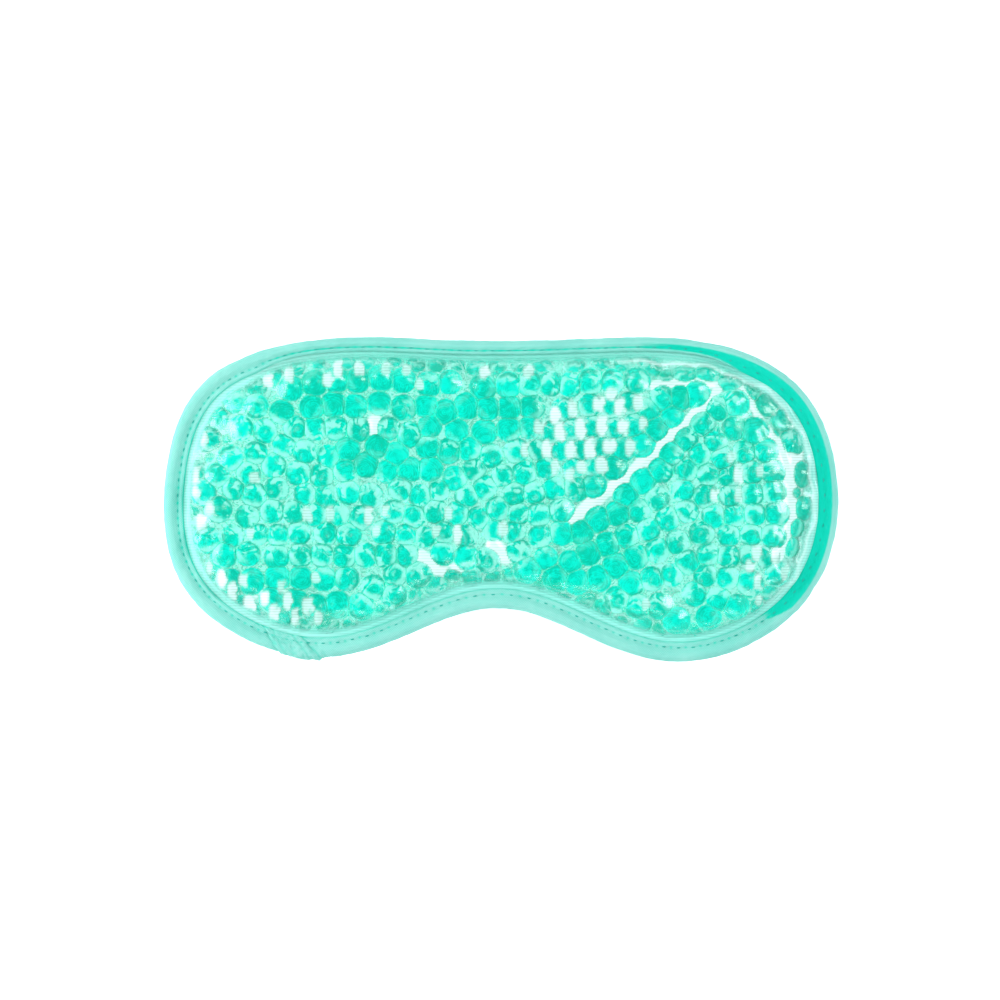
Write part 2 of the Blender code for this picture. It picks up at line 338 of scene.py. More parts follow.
def inset_of(points):
    """Distance in from the outline (negative outside) and the nearest station of each point."""
    depth = np.empty(len(points))
    nearest = np.empty(len(points), int)
    for start in range(0, len(points), NEAREST_BATCH):
        batch = np.s_[start : start + NEAREST_BATCH]
        gap = points[batch][:, None, :] - EDGE[None, :, :]
        k = np.argmin((gap**2).sum(axis=2), axis=1)
        nearest[batch] = k
        depth[batch] = ((points[batch] - EDGE[k]) * EDGE_IN[k]).sum(axis=1)
    return depth, nearest


def smoothstep(low, high, x):
    """0 below low, 1 above high, and smooth between them."""
    t = np.clip((x - low) / (high - low), 0, 1)
    return t * t * (3 - 2 * t)


def smooth_noise(x, y, scale, seed):
    """A sum of slanted sine waves: smooth, repeatable unevenness, mostly between -1 and 1."""
    picker = np.random.default_rng(seed)
    total = np.zeros(np.broadcast(x, y).shape)
    for _ in range(NOISE_WAVES):
        angle, phase = picker.uniform(0, 2 * math.pi, 2)
        wave = scale * picker.uniform(0.7, 1.6)
        total += np.sin((x * math.cos(angle) + y * math.sin(angle)) * 2 * math.pi / wave + phase)
    return total / NOISE_WAVES**0.5 / 1.5


# ---------------------------------------------------------------- bead packing
def along_top(nearest):
    """1 at stations on the straight forehead edge, 0 elsewhere."""
    return smoothstep(0.90, 0.995, -EDGE_IN[nearest][..., 1])


def wall_at(nearest):
    """How far in from each station of the outline the beads begin."""
    return BEAD_WALL + (BEAD_WALL_TOP - BEAD_WALL) * along_top(nearest)


def wall_inset(z, nearest):
    """How far in the side of the pouch is at each height."""
    rise = np.clip((z - FILM_RIM_Z) / (CROWN_Z - FILM_RIM_Z), -1, 1)
    return wall_at(nearest) + WALL_LEAN * np.abs(rise) ** WALL_LEAN_POWER


def push_off_creases(places, radii):
    """Beads of the upper layer make way for the creases of the film."""
    upper = places[:, 2] > UPPER_SETTLING_Z
    for x0, y0, x1, y1, half, _ in CREASES:
        line = np.array([x1 - x0, y1 - y0])
        off = places[:, :2] - (x0, y0)
        along = np.clip(off @ line / (line @ line), 0, 1)
        gap = off - along[:, None] * line
        away = np.linalg.norm(gap, axis=1) + 1e-6
        clear = radii * BEAD_SWELL * CREASE_CLEAR_OF_BEAD + half * CREASE_CLEAR_OF_CREASE
        push = np.clip(clear - away, 0, None) * upper
        places[:, :2] += gap / away[:, None] * push[:, None] * CREASE_PUSH


def lattice(clear, shift):
    """Beads in offset rows, all at least this far clear of the wall."""
    half_x, half_y = LATTICE_HALF
    found = []
    for row, y in enumerate(np.arange(-half_y + shift[1], half_y + 1, BEAD_ROW)):
        offset = shift[0] + (row % 2) * BEAD_PITCH / 2
        for x in np.arange(-half_x + offset, half_x + 1, BEAD_PITCH):
            found.append((x, y))
    found = np.array(found)
    depth, nearest = inset_of(found)
    return found[depth > wall_at(nearest) + clear]


def pack_beads():
    """Two loose layers settled against each other, the back film and the wall of the pouch."""
    lower = lattice(LOWER_CLEAR, (0.0, ROW_SHIFT))
    upper = lattice(UPPER_CLEAR, (BEAD_PITCH / 2, ROW_SHIFT + BEAD_ROW * 0.66))
    lower = np.c_[lower, np.full(len(lower), LOWER_START_Z)]
    upper = np.c_[upper, np.full(len(upper), UPPER_START_Z)]
    places = np.vstack([lower, upper])
    places += RANDOM.normal(0, START_JITTER, places.shape)
    radii = BEAD_RADIUS + RANDOM.normal(0, BEAD_SPREAD, len(places)).clip(*BEAD_SPREAD_LIMITS)
    lowest = BACK_FILM_Z + radii + BEAD_FLOOR_GAP
    highest = CROWN_Z - BEAD_CROWN_GAP - radii
    for _ in range(SETTLE_STEPS):
        gap = places[:, None, :] - places[None, :, :]
        length = np.sqrt((gap**2).sum(axis=2))
        np.fill_diagonal(length, 100.0)
        overlap = (radii[:, None] + radii[None, :]) * SETTLE_CONTACT - length
        push = gap / length[..., None] * overlap.clip(0, None)[..., None]
        places += push.sum(axis=1) * SETTLE_PUSH
        places[:, 2] -= SETTLE_SINK
        push_off_creases(places, radii)
        depth, k = inset_of(places[:, :2])
        push = np.clip(wall_inset(places[:, 2], k) + radii - depth, 0, None)
        places[:, :2] += EDGE_IN[k] * push[:, None] * WALL_PUSH
        places[:, 2] = places[:, 2].clip(lowest, highest)
    return places, radii


# ---------------------------------------------------------------- grids over the outline
class Grid:
    """A square grid over the outline's box, with a line of points at x = 0."""

    def __init__(self, step):
        self.step = step
        half_x = math.ceil(CAD_SIZE[0] / 2 / step)
        half_y = math.ceil(CAD_SIZE[1] / 2 / step)
        self.x = np.arange(-half_x, half_x + 1) * step
        self.y = np.arange(-half_y, half_y + 1) * step + CAD_MIDDLE[1]
        self.xx, self.yy = np.meshgrid(self.x, self.y, indexing="ij")
        flat = np.stack([self.xx.ravel(), self.yy.ravel()], axis=1)
        depth, nearest = inset_of(flat)
        self.depth = depth.reshape(self.xx.shape)
        self.nearest = nearest.reshape(self.xx.shape)


def around(z):
    """The mean of the four neighbours."""
    padded = np.pad(z, 1, mode="edge")
    return (padded[2:, 1:-1] + padded[:-2, 1:-1] + padded[1:-1, 2:] + padded[1:-1, :-2]) / 4


def sample(grid, values, x, y):
    """Values of the grid at points, read between its nodes."""
    i = np.clip((x - grid.x[0]) / grid.step, 0, len(grid.x) - 1.001)
    j = np.clip((y - grid.y[0]) / grid.step, 0, len(grid.y) - 1.001)
    low_i, low_j = i.astype(int), j.astype(int)
    u, v = i - low_i, j - low_j
    low = values[low_i, low_j] * (1 - u) + values[low_i + 1, low_j] * u
    high = values[low_i, low_j + 1] * (1 - u) + values[low_i + 1, low_j + 1] * u
    return low * (1 - v) + high * v


def bead_relief(grid, places, radii):
    """The upper surface of the beads as a height on the grid."""
    relief = np.full(grid.xx.shape, FILM_RIM_Z)
    for (x, y, z), radius in zip(places, radii * BEAD_SWELL):
        reach = int(radius / grid.step) + 1
        i = int(round((x - grid.x[0]) / grid.step))
        j = int(round((y - grid.y[0]) / grid.step))
        part = np.s_[max(i - reach, 0) : i + reach + 1, max(j - reach, 0) : j + reach + 1]
        off = (grid.xx[part] - x) ** 2 + (grid.yy[part] - y) ** 2
        cap = np.where(off < radius**2, z + np.sqrt(np.clip(radius**2 - off, 0, None)), -1)
        relief[part] = np.maximum(relief[part], cap)
    return relief


# ---------------------------------------------------------------- meshes
def new_mesh(name, points_mm, faces):
    """A smooth mesh from arrays; all its faces have the same number of corners."""
    mesh = bpy.data.meshes.new(name)
    mesh.vertices.add(len(points_mm))
    mesh.vertices.foreach_set("co", (np.asarray(points_mm) * MM).astype(np.float32).ravel())
    faces = np.asarray(faces)
    count, corners = faces.shape
    mesh.loops.add(count * corners)
    mesh.loops.foreach_set("vertex_index", faces.astype(np.int32).ravel())
    mesh.polygons.add(count)
    mesh.polygons.foreach_set("loop_start", np.arange(0, count * corners, corners, dtype=np.int32))
    mesh.update(calc_edges=True)
    mesh.validate()
    mesh.shade_smooth()
    return mesh


def add_values(mesh, **values):
    """Numbers kept at each vertex, which the materials read."""
    for name, numbers in values.items():
        attribute = mesh.attributes.new(name, "FLOAT", "POINT")
        attribute.data.foreach_set("value", np.asarray(numbers, np.float32).ravel())


def new_piece(name, mesh, material):
    obj = bpy.data.objects.new(name, mesh)
    bpy.context.scene.collection.objects.link(obj)
    mesh.materials.append(material)
    return obj


def bend_with(obj):
    """Bakes the piece's placement into its mesh."""
    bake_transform(obj)


def side_name(side):
    return "left" if side < 0 else "right"


def nodes_named(start, side):
    """CAD nodes of a kind that this side's piece stands for; the left one takes the bridge's."""
    keep = ("left", "bridge") if side < 0 else ("right",)
    return [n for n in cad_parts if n.startswith(start) and any("_" + k in n for k in keep)]


def sheet_pieces(name, grid, height, material, flip=False, values=None):
    """A height field over the outline as a left and a right sheet that share the line x = 0."""
    inside = grid.depth > FILM_EDGE
    slope_x, slope_y = np.gradient(height, grid.step)
    normals = np.stack([-slope_x, -slope_y, np.ones_like(height)], axis=-1)
    normals /= np.linalg.norm(normals, axis=-1)[..., None]
    if flip:
        normals = -normals
    # Points just inside the edge move out onto it, so that the sheet ends in a clean line.
    near = inside & (grid.depth < FILM_EDGE + grid.step * 0.75)
    shift = np.where(near, grid.depth - FILM_EDGE, 0)
    inward = EDGE_IN[grid.nearest]
    px = grid.xx - inward[..., 0] * shift
    py = grid.yy - inward[..., 1] * shift
    pieces = []
    for side in (-1, 1):
        keep = inside & (grid.xx * side >= -1e-6)
        number = np.full(keep.shape, -1)
        number[keep] = np.arange(keep.sum())
        quad = np.stack([number[:-1, :-1], number[1:, :-1], number[1:, 1:], number[:-1, 1:]], axis=-1)
        quad = quad[(quad >= 0).all(axis=-1)]
        if flip:
            quad = quad[:, ::-1]
        points = np.stack([px[keep], py[keep], height[keep]], axis=1)
        used = np.unique(quad)
        renumber = np.full(len(points), -1)
        renumber[used] = np.arange(len(used))
        mesh = new_mesh(f"{name}_{side_name(side)}", points[used], renumber[quad])
        mesh.normals_split_custom_set_from_vertices(normals[keep][used].tolist())
        add_values(mesh, **{key: numbers[keep][used] for key, numbers in (values or {}).items()})
        obj = new_piece(f"{name}_{side_name(side)}", mesh, material)
        pieces.append((side, obj))
    return pieces


# ---------------------------------------------------------------- materials
def fill(socket, value):
    """Links a socket to another one, or gives it a number or colour of its own."""
    if isinstance(value, bpy.types.NodeSocket):
        socket.id_data.links.new(value, socket)
    else:
        socket.default_value = value


def set_inputs(node, **values):
    """Fills a node's inputs; an underscore in a name stands for a space."""
    for key, value in values.items():
        fill(node.inputs[key.replace("_", " ")], value)


def add_node(nodes, kind, **values):
    """One node; each value is one of its settings or fills one of its inputs."""
    node = nodes.new("ShaderNode" + kind)
    for key, value in values.items():
        if hasattr(node, key):
            setattr(node, key, value)
        else:
            set_inputs(node, **{key: value})
    return node


def shader_tree(name):
    material = bpy.data.materials.new(name)
    material.use_nodes = True
    nodes = material.node_tree.nodes
    return material, nodes, nodes["Principled BSDF"]


def own_place(nodes):
    return add_node(nodes, "TexCoord").outputs["Object"]


def vertex_value(nodes, name):
    return add_node(nodes, "Attribute", attribute_name=name).outputs["Fac"]


def math_node(nodes, operation, a, b=0.0):
    """The result of one Math node; a and b are sockets or numbers."""
    node = add_node(nodes, "Math", operation=operation)
    fill(node.inputs[0], a)
    fill(node.inputs[1], b)
    return node.outputs[0]


def mix_color(nodes, amount, a, b):
    """A colour mix; a and b are sockets or linear colours."""
    node = add_node(nodes, "Mix", data_type="RGBA", Factor=amount)
    for socket, value in ((node.inputs[6], a), (node.inputs[7], b)):
        fill(socket, value if isinstance(value, bpy.types.NodeSocket) else (*value, 1))
    return node.outputs[2]


def mix_shaders(nodes, amount, under, over):
    node = add_node(nodes, "MixShader", Fac=amount)
    fill(node.inputs[1], under)
    fill(node.inputs[2], over)
    return node.outputs["Shader"]


def thread_pattern(nodes, scale, tilt):
    """Height of a plain weave, and a slow unevenness, both from the piece's own coordinates."""
    turn = add_node(nodes, "Mapping", Vector=own_place(nodes), Rotation=(0, 0, tilt))
    place = turn.outputs["Vector"]
    threads = []
    for direction in ("X", "Y"):
        wave = add_node(nodes, "TexWave", bands_direction=direction, Vector=place)
        set_inputs(wave, Scale=scale, Distortion=0.4)
        threads.append(wave.outputs["Fac"])
    cloud = add_node(nodes, "TexNoise", Vector=place, Scale=90.0, Detail=3.0)
    return math_node(nodes, "MULTIPLY", *threads), cloud.outputs["Fac"]


def woven_material(name, dark, light, scale, tilt, bump, sheen, deep=None):
    """Fine weave with soft uneven colour; painted shade kept on the mesh turns it to the deep colour."""
    material, nodes, shader = shader_tree(name)
    weave, cloud = thread_pattern(nodes, scale, tilt)
    ramp = add_node(nodes, "ValToRGB", Fac=math_node(nodes, "ADD", weave, cloud))
    for stop, position, color in zip(ramp.color_ramp.elements, (0.35, 1.0), (dark, light)):
        stop.position = position
        stop.color = (*color, 1)
    color = ramp.outputs["Color"]
    if deep:
        color = mix_color(nodes, vertex_value(nodes, "shade"), color, deep)
    relief = add_node(nodes, "Bump", Strength=bump, Distance=0.00012, Height=weave)
    set_inputs(shader, Base_Color=color, Normal=relief.outputs["Normal"], Roughness=0.85)
    set_inputs(shader, Sheen_Weight=sheen, Sheen_Roughness=0.4, Specular_IOR_Level=0.15)
    return material


def wrinkles(nodes):
    """Fine crooked wrinkles of the film, from 0.2 to 1."""
    noise = add_node(nodes, "TexNoise", Vector=own_place(nodes), Scale=480.0, Detail=3.0, Distortion=2.2)
    spread = add_node(nodes, "MapRange", Value=noise.outputs["Fac"], From_Min=0.42, From_Max=0.56)
    set_inputs(spread, To_Min=0.2, To_Max=1.0)
    return spread.outputs["Result"]


def film_fog(nodes, ribs, under):
    """Haze and milk over the clear film, with painted highlights in the milk and painted light in the
    haze, and the grooves along its flat margin.
    """
    turns = math_node(nodes, "MULTIPLY", vertex_value(nodes, "inset"), 2 * math.pi / FLANGE_RIB)
    groove = math_node(nodes, "SINE", turns)
    groove = math_node(nodes, "MULTIPLY", groove, vertex_value(nodes, "ribbed"))
    level = math_node(nodes, "SUBTRACT", ribs, 0.5)
    level = math_node(nodes, "MULTIPLY", level, vertex_value(nodes, "level_ribs"))
    haze = math_node(nodes, "MAXIMUM", wrinkles(nodes), vertex_value(nodes, "flange"))
    haze = math_node(nodes, "MULTIPLY", haze, vertex_value(nodes, "haze"))
    haze = math_node(nodes, "ADD", haze, groove)
    haze = math_node(nodes, "ADD", haze, level)
    milk_and_painted_highlight = math_node(nodes, "MULTIPLY", ribs, RIB_IN_MILK)
    milk_and_painted_highlight = math_node(nodes, "ADD", milk_and_painted_highlight, 1.0 - RIB_IN_MILK * 0.6)
    milk_and_painted_highlight = math_node(nodes, "MULTIPLY", milk_and_painted_highlight, vertex_value(nodes, "milk_and_painted_highlight"))
    for amount, color in ((haze, HAZE_COLOR), (milk_and_painted_highlight, MILK_COLOR)):
        fog = add_node(nodes, "BsdfDiffuse", Color=(*color, 1))
        under = mix_shaders(nodes, amount, under, fog.outputs["BSDF"])
    return under, groove


def film_material(name, tint, least, most, marks):
    """Thin clear vinyl: light goes through, its surface mirrors the lamps, and it looks milky
    where a gap or a crease parts it from the gel, with painted highlights on creases, air pockets and
    the rim fold."""
    material, nodes, shader = shader_tree(name)
    nodes.remove(shader)
    under = add_node(nodes, "BsdfTransparent", Color=(*tint, 1)).outputs["BSDF"]
    place = own_place(nodes)
    ribs = add_node(nodes, "TexWave", bands_direction="Y", Vector=place, Scale=RIB_SCALE)
    set_inputs(ribs, Distortion=1.2, Detail_Scale=0.6)
    ribs = ribs.outputs["Fac"]
    patchy = add_node(nodes, "TexNoise", Vector=place, Scale=60.0, Detail=1.0)
    height = math_node(nodes, "MULTIPLY", ribs, patchy.outputs["Fac"])
    if marks:
        under, groove = film_fog(nodes, ribs, under)
        height = math_node(nodes, "ADD", height, math_node(nodes, "MULTIPLY", groove, 8.0))
    relief = add_node(nodes, "Bump", Strength=0.35, Distance=0.00008, Height=height)
    gloss = add_node(nodes, "BsdfGlossy", Roughness=0.2, Normal=relief.outputs["Normal"])
    facing = add_node(nodes, "LayerWeight", Blend=0.5).outputs["Facing"]
    amount = add_node(nodes, "MapRange", Value=math_node(nodes, "POWER", facing, 3.0))
    set_inputs(amount, To_Min=least, To_Max=most)
    surface = mix_shaders(nodes, amount.outputs["Result"], under, gloss.outputs["BSDF"])
    set_inputs(nodes["Material Output"], Surface=surface)
    return material


def gel_material(name, deep, mid, rim, pale, shade, lit):
    """Tinted water gel: part clear, part cloudy, paler on its skin, with painted lens rings and
    crescents of painted shade and highlight; lamps shine through it.
    """
    material, nodes, shader = shader_tree(name)
    place = own_place(nodes)
    swirl = add_node(nodes, "TexNoise", Vector=place, Scale=420.0, Detail=2.0, Distortion=1.6)
    swirl = swirl.outputs["Fac"]
    body = math_node(nodes, "MULTIPLY", swirl, 3.0)
    body = math_node(nodes, "ADD", vertex_value(nodes, "tone"), body)
    body = math_node(nodes, "SUBTRACT", body, 1.55)
    # Painted rings round each bead's painted lens spot.
    turns = math_node(nodes, "MULTIPLY", vertex_value(nodes, "from_axis"), 2 * math.pi / RING_STEP)
    waver = math_node(nodes, "MULTIPLY", swirl, RING_WAVER)
    rings = math_node(nodes, "SINE", math_node(nodes, "ADD", turns, waver))
    body = math_node(nodes, "ADD", body, math_node(nodes, "MULTIPLY", rings, RING_TONE))
    veins = add_node(nodes, "TexNoise", Vector=place, Scale=300.0, Detail=2.0, Distortion=1.2)
    veil = add_node(nodes, "MapRange", Value=veins.outputs["Fac"], From_Min=0.47, From_Max=0.56)
    set_inputs(veil, To_Max=0.9)
    veil = math_node(nodes, "MULTIPLY", veil.outputs["Result"], vertex_value(nodes, "cloudy"))
    color = mix_color(nodes, body, deep, mid)
    color = mix_color(nodes, veil, color, pale)
    # Crescents of painted highlight and painted shade, then the paler skin.
    for mark, tint in (("painted_highlight_arc", pale), ("painted_shade_arc", shade), ("skin", rim)):
        color = mix_color(nodes, vertex_value(nodes, mark), color, tint)
    ripple = add_node(nodes, "Bump", Strength=0.5, Distance=0.0003, Height=swirl)
    set_inputs(shader, Base_Color=color, Normal=ripple.outputs["Normal"], Roughness=0.12)
    set_inputs(shader, IOR=1.33, Specular_IOR_Level=0.15, Transmission_Weight=GEL_CLEAR)
    in_shadow = add_node(nodes, "LightPath").outputs["Is Shadow Ray"]
    through = add_node(nodes, "BsdfTransparent", Color=(*lit, 1))
    surface = mix_shaders(nodes, in_shadow, shader.outputs["BSDF"], through.outputs["BSDF"])
    set_inputs(nodes["Material Output"], Surface=surface)
    return material


# ---------------------------------------------------------------- camera, light, floor
def add_lamp(name, place, size, power):
    """An area lamp that faces the origin."""
    data = bpy.data.lights.new(name, "AREA")
    data.shape = "RECTANGLE"
    data.size, data.size_y = size
    data.energy = power
    obj = bpy.data.objects.new(name, data)
    obj.location = place
    obj.rotation_euler = (-Vector(place)).to_track_quat("-Z", "Y").to_euler()
    bpy.context.scene.collection.objects.link(obj)


def add_camera():
    """The photograph's view, straight down."""
    scene = bpy.context.scene
    scene.view_settings.view_transform = "Standard"
    scene.view_settings.look = "None"
    camera = bpy.data.cameras.new("camera")
    camera.sensor_width = SENSOR_WIDTH
    camera.lens = camera.sensor_width * (EYE[2] - EYE_VIEW_Z) / EYE_VIEW_WIDTH
    eye = bpy.data.objects.new("camera", camera)
    eye.location = EYE
    scene.collection.objects.link(eye)
    scene.camera = eye


def add_floor():
    """A wide white floor that glows a little, so that it looks as white as the photograph's."""
    corners = [(-FLOOR_REACH, -FLOOR_REACH, 0), (FLOOR_REACH, -FLOOR_REACH, 0)]
    corners += [(FLOOR_REACH, FLOOR_REACH, 0), (-FLOOR_REACH, FLOOR_REACH, 0)]
    material, _, shader = shader_tree("floor")
    set_inputs(shader, Base_Color=(0.92, 0.92, 0.92, 1), Roughness=0.9)
    set_inputs(shader, Emission_Color=(1, 1, 1, 1), Emission_Strength=FLOOR_GLOW)
    floor = new_piece("floor", new_mesh("floor", corners, [(0, 1, 2, 3)]), material)
    floor.location.z = -FLOOR_DROP * MM


def add_sky():
    """White light from all round, dim near the top, where the film would mirror it."""
    world = bpy.data.worlds.new("world")
    world.use_nodes = True
    nodes = world.node_tree.nodes
    way = add_node(nodes, "TexCoord").outputs["Generated"]
    height = add_node(nodes, "SeparateXYZ", Vector=way).outputs["Z"]
    dimmer = add_node(nodes, "MapRange", Value=height, From_Min=0.55, From_Max=0.85)
    set_inputs(dimmer, To_Min=SKY, To_Max=SKY_TOP)
    set_inputs(nodes["Background"], Color=(1, 1, 1, 1), Strength=dimmer.outputs["Result"])
    bpy.context.scene.world = world


# ---------------------------------------------------------------- pieces
def ico(subdivisions):
    """Unit sphere as arrays of points and triangles."""
    bm = bmesh.new()
    bmesh.ops.create_icosphere(bm, subdivisions=subdivisions, radius=1.0)
    points = np.array([v.co[:] for v in bm.verts])
    faces = np.array([[v.index for v in f.verts] for f in bm.faces])
    bm.free()
    return points, faces


def squashed_bead(k, places, radii, directions, film_point, film_normal):
    """The bead's radius in each direction, flattened by its neighbours, the film and the back."""
    limits = [np.full(len(directions), radii[k] * BEAD_SWELL)]
    gaps = places - places[k]
    length = np.linalg.norm(gaps, axis=1)
    close = np.flatnonzero((length > 0) & (length < 2.4 * BEAD_RADIUS))
    planes = []
    for n in close:
        planes.append((gaps[n] / length[n], (length[n] + radii[k] - radii[n]) / 2 - BEAD_CONTACT_GAP))
    planes.append((film_normal, (film_point - places[k]) @ film_normal - FILM_CLEARANCE))
    planes.append((np.array([0.0, 0.0, -1.0]), places[k][2] - BACK_FILM_Z - FILM_CLEARANCE))
    for normal, reach in planes:
        facing = np.clip(directions @ normal, 0.02, None)
        limits.append(max(reach, 0.5 * BEAD_RADIUS) / facing)
    return sum(limit ** -BEAD_SOFTNESS for limit in limits) ** (-1 / BEAD_SOFTNESS)


def bead_groups(places):
    """Layer, side, subdivisions and beads of each piece."""
    full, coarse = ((4, 3))
    for side in (-1, 1):
        mine = (places[:, 0] < 0) == (side < 0)
        upper = places[:, 2] >= UPPER_SETTLED_Z
        far = np.abs(places[:, 0]) > CAD_SIZE[0] / 4
        yield "lower", side, coarse, np.flatnonzero(mine & ~upper)
        yield "upper_inner", side, full, np.flatnonzero(mine & upper & ~far)
        yield "upper_outer", side, full, np.flatnonzero(mine & upper & far)


def arc_on(directions, turn, low, high):
    """A crescent near the bead's rim, on the side that turn points to, for the painted shade and
    highlight crescents.
    """
    height = directions[:, 2]
    towards = directions[:, 0] * math.cos(turn) + directions[:, 1] * math.sin(turn)
    ring = smoothstep(low - 0.06, low, height) * (1 - smoothstep(high, high + 0.06, height))
    return ring * smoothstep(0.35, 0.6, towards)


def bead_marks(directions, tone):
    """Vertex values of one bead: its tone, a painted lens spot where the gel is clear, with painted
    rings round it, and two crescents of painted shade and painted highlight.
    """
    lens = np.array([RANDOM.normal(-0.1, 0.22), RANDOM.normal(-0.28, 0.18), 1.0])
    facing = directions @ (lens / np.linalg.norm(lens))
    turn = RANDOM.uniform(0, 2 * math.pi)
    return {
        "tone": np.full(len(directions), tone),
        "painted_lens_spot": smoothstep(SPOT_EDGE, SPOT_EDGE + SPOT_SOFT, facing + tone * 0.06),
        "from_axis": np.arccos(facing.clip(-1, 1)),
        "painted_shade_arc": arc_on(directions, turn, 0.50, 0.66),
        "painted_highlight_arc": arc_on(directions, turn + math.pi, 0.60, 0.78),
    }


def film_over(grid, film, tilts, place):
    """The point of the film over a bead's centre, and the film's normal there."""
    x, y = place[:1], place[1:2]
    normal = np.array([*[sample(grid, tilt, x, y)[0] for tilt in tilts], 1.0])
    point = np.array([x[0], y[0], sample(grid, film, x, y)[0]])
    return point, normal / np.linalg.norm(normal)


def make_beads(places, radii, grid, film, loose, material):
    """Every bead as its own closed shell, in three groups a side."""
    tilts = [-slope for slope in np.gradient(film, grid.step)]
    tones = RANDOM.beta(2.0, 2.0, len(places))
    for layer, side, subdivisions, chosen in bead_groups(places):
        directions, faces = ico(subdivisions)
        clouds, corners, marks = [], [], []
        for n, k in enumerate(chosen):
            point, normal = film_over(grid, film, tilts, places[k])
            reach = squashed_bead(k, places, radii, directions, point, normal)
            clouds.append(directions * reach[:, None] + places[k])
            corners.append(faces + n * len(directions))
            marks.append(bead_marks(directions, tones[k]))
        points = np.vstack(clouds)
        ceiling = sample(grid, film, points[:, 0], points[:, 1]) - FILM_CLEARANCE
        points[:, 2] = np.minimum(points[:, 2], ceiling)
        free = sample(grid, loose, points[:, 0], points[:, 1])
        values = {key: np.concatenate([mark[key] for mark in marks]) for key in marks[0]}
        values["skin"] = np.tile(1 - smoothstep(0.05, 0.42, directions[:, 2]), len(chosen))
        # The gel is clear in its painted lens spot.
        values["cloudy"] = free * (1 - values.pop("painted_lens_spot"))
        # The crescents of painted shade and highlight are stronger on loose beads.
        values["painted_shade_arc"] *= 0.35 + 0.55 * free
        values["painted_highlight_arc"] *= 0.15 + 0.65 * free
        name = f"gel_beads_{layer}_{side_name(side)}"
        mesh = new_mesh(name, points, np.vstack(corners))
        add_values(mesh, **values)
        obj = new_piece(name, mesh, material)
        if layer == "lower":
            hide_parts(*nodes_named("gel_beads", side))
        bend_with(obj)


def in_areas(x, y, areas):
    """The strength of the strongest soft-edged ellipse at each point; 0 outside all of them."""
    most = np.zeros(x.shape)
    for cx, cy, half_x, half_y, turn, amount in areas:
        c, s = math.cos(math.radians(turn)), math.sin(math.radians(turn))
        u = ((x - cx) * c + (y - cy) * s) / half_x
        v = ((y - cy) * c - (x - cx) * s) / half_y
        most = np.maximum(most, amount * np.exp(-((u**2 + v**2) ** 2)))
    return most


def crease_shape(x, y):
    """Height of the creases, and how near each point is to one, from 0 to 1."""
    height = np.zeros(x.shape)
    near = np.zeros(x.shape)
    wobble = 1.1 * smooth_noise(x, y, 9, 31)
    for x0, y0, x1, y1, half, rise in CREASES:
        dx, dy = x1 - x0, y1 - y0
        along = np.clip(((x - x0) * dx + (y - y0) * dy) / (dx * dx + dy * dy), 0, 1)
        away = np.hypot(x - x0 - along * dx, y - y0 - along * dy) + wobble * 0.5
        height = np.maximum(height, rise * np.exp(-((away / half) ** 2)))
        near = np.maximum(near, 1 - smoothstep(half * 0.9, half * 1.7, away))
    return height, near


def air_pockets(grid, places, radii, relief, airy):
    """Upright patches of air beside the beads, which lift the film and carry a painted highlight: on the
    left at the left end, else on the right.
    """
    pocket = np.zeros(grid.xx.shape)
    ragged = smooth_noise(grid.xx, grid.yy, 2.2, 52)
    top = places[:, 2] + radii * BEAD_SWELL
    seen = places[top > sample(grid, relief, places[:, 0], places[:, 1]) - 0.4]
    strength = sample(grid, airy, seen[:, 0], seen[:, 1]) + RANDOM.normal(0, 0.15, len(seen))
    for (x, y, _), amount in zip(seen, strength.clip(0, 1)):
        if amount < AIR_LEAST:
            continue
        side = -1 if x < AIR_SIDE_X else 1
        growth = np.array([0.5 + 0.6 * amount, 0.6 + 0.5 * amount])
        half_x, half_y = RANDOM.uniform(0.75, 1.2, 2) * AIR_HALF * growth
        u = np.abs(grid.xx - x - side * AIR_BESIDE + 0.35 * ragged) / half_x
        v = np.abs(grid.yy - y - 0.3) / half_y
        patch = 1 - smoothstep(0.6, 1.25, (u**3 + v**3) ** (1 / 3) + 0.15 * ragged)
        pocket = np.maximum(pocket, patch * min(1.0, 0.2 + amount * 0.9))
    return pocket


def rim_fold(grid):
    """A low fold of the film along the inner edge of the binding, round the right end."""
    start, end = s_nearest(*RIM_FOLD_FROM), s_nearest(*RIM_FOLD_TO)
    turn = np.mod(EDGE_AT[grid.nearest] - start, EDGE_LENGTH)
    stretch = np.mod(end - start, EDGE_LENGTH)
    ends = smoothstep(0, 12, turn) * (1 - smoothstep(stretch - 12, stretch, turn))
    wave = 0.5 * np.sin(turn / 3.9) + 0.3 * np.sin(turn / 1.7)
    line = RIM_FOLD_INSET + wave * ends
    return RIM_FOLD * ends * np.exp(-(((grid.depth - line) / RIM_FOLD_HALF) ** 2))


def drape(relief, held):
    """The film drawn tight over the beads, and the same film with the beads smoothed away."""
    tight = relief.copy()
    for _ in range(DRAPE_STEPS):
        tight = np.maximum(relief, around(tight) - DRAPE_SAG)
        tight = np.where(held, FILM_RIM_Z, tight)
    for _ in range(SOFTEN_STEPS):
        tight = np.where(held, tight, around(tight))
    smooth = tight
    for _ in range(SMOOTH_STEPS):
        smooth = np.where(held, smooth, around(smooth))
    return tight, smooth


